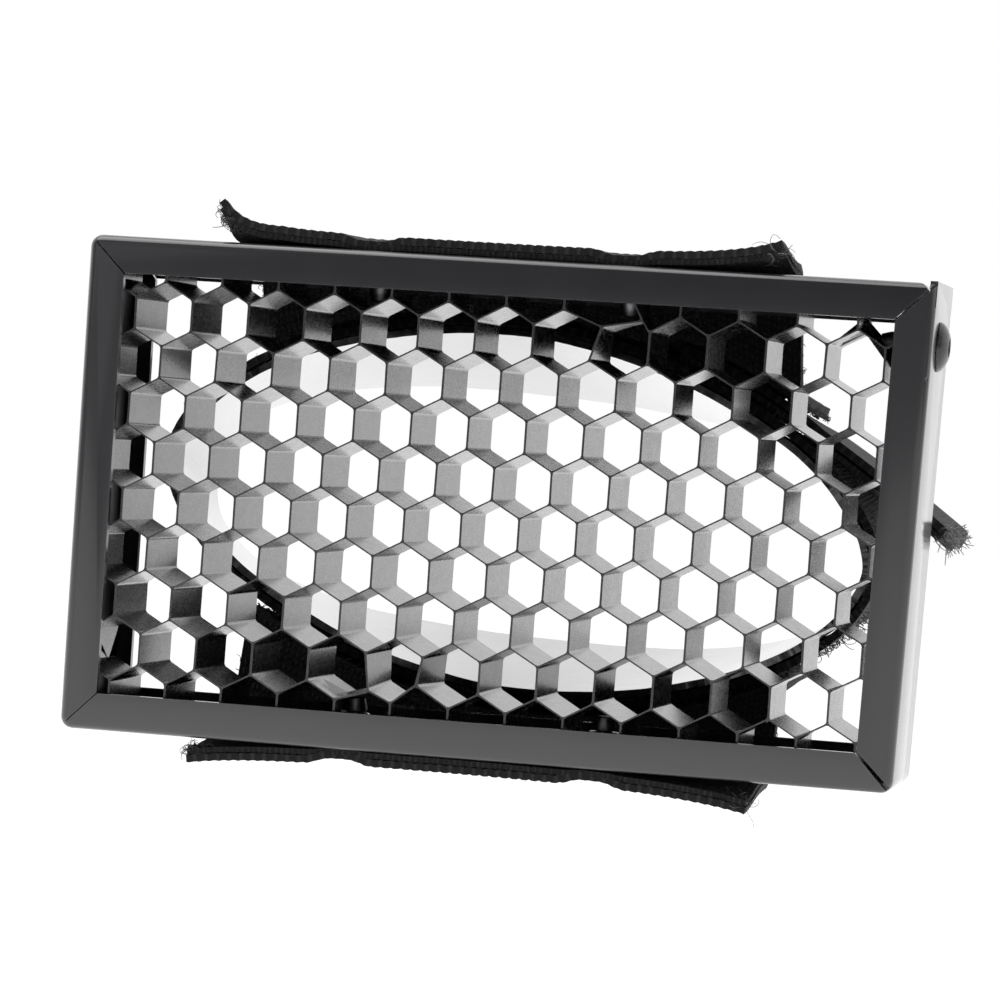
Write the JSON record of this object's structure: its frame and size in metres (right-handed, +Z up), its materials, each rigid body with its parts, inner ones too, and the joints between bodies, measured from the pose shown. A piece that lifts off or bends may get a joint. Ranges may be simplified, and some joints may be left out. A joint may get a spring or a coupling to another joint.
{
  "type": "flash honeycomb grid",
  "caption": "Rectangular honeycomb light grid for a camera flash: a sheet-metal channel round a deep honeycomb of black-coated foil, with riveted hook-and-loop flaps and a strap loop for the flash head.",
  "frame": {"origin": "on the grid's own axis, half way along the strap's width, in the middle of the space that the flash head fills", "axes": "+X along the long side, to the right seen from the front; +Y back towards the flash; +Z up"},
  "size_m": [0.0967, 0.0653, 0.061],
  "materials": {
    "frame_paint": "satin black paint on thin sheet metal",
    "grid_foil": "satin black coating on thin aluminium foil, with a fine speckle",
    "rivet_black": "glossy black",
    "rivet_bright": "bright",
    "stem_steel": "dull",
    "webbing": "charcoal woven webbing with a fuzzy pile",
    "hook_tape": "matte black hook tape",
    "grip_lining": "glossy grip lining"
  },
  "bodies": {
    "strap": {"strap_webbing": "webbing", "strap_lining": "grip_lining", "strap_overlap_webbing": "webbing", "strap_overlap_hook": "hook_tape"},
    "grid_frame": {"frame_channel": "frame_paint", "honeycomb_panel": "grid_foil", "corner_rivet": "rivet_black", "corner_rivet_stem": "stem_steel", "top_rivet_left": "rivet_bright", "top_rivet_left_stem": "stem_steel", "top_rivet_right": "rivet_bright", "top_rivet_right_stem": "stem_steel", "bottom_rivet_left": "rivet_bright", "bottom_rivet_left_stem": "stem_steel", "bottom_rivet_right": "rivet_bright", "bottom_rivet_right_stem": "stem_steel", "top_flap_root_webbing": "webbing", "top_flap_root_hook": "hook_tape", "bottom_flap_root_webbing": "webbing", "bottom_flap_root_hook": "hook_tape"},
    "top_flap": {"top_flap_tail_webbing": "webbing", "top_flap_tail_hook": "hook_tape"},
    "bottom_flap": {"bottom_flap_tail_webbing": "webbing", "bottom_flap_tail_hook": "hook_tape"},
    "strap_tab": {"strap_tab_webbing": "webbing", "strap_tab_hook": "hook_tape"}
  },
  "joints": [
    {"name": "grid_pull", "type": "slide", "parent": "strap", "child": "grid_frame", "axis": [0, -1, 0], "range_m": [0, 0.05]},
    {"name": "top_flap_fold", "type": "hinge", "parent": "grid_frame", "child": "top_flap", "pos_m": [-0.0007, -0.028, 0.0293], "axis": [1, 0, 0], "range_deg": [0, 110]},
    {"name": "bottom_flap_fold", "type": "hinge", "parent": "grid_frame", "child": "bottom_flap", "pos_m": [-0.0007, -0.028, -0.0293], "axis": [-1, 0, 0], "range_deg": [0, 110]},
    {"name": "strap_tab_peel", "type": "hinge", "parent": "strap", "child": "strap_tab", "pos_m": [0.0324, 0, 0.0108], "axis": [0.0348, -0.9991, 0.0226], "range_deg": [0, 80]}
  ]
}
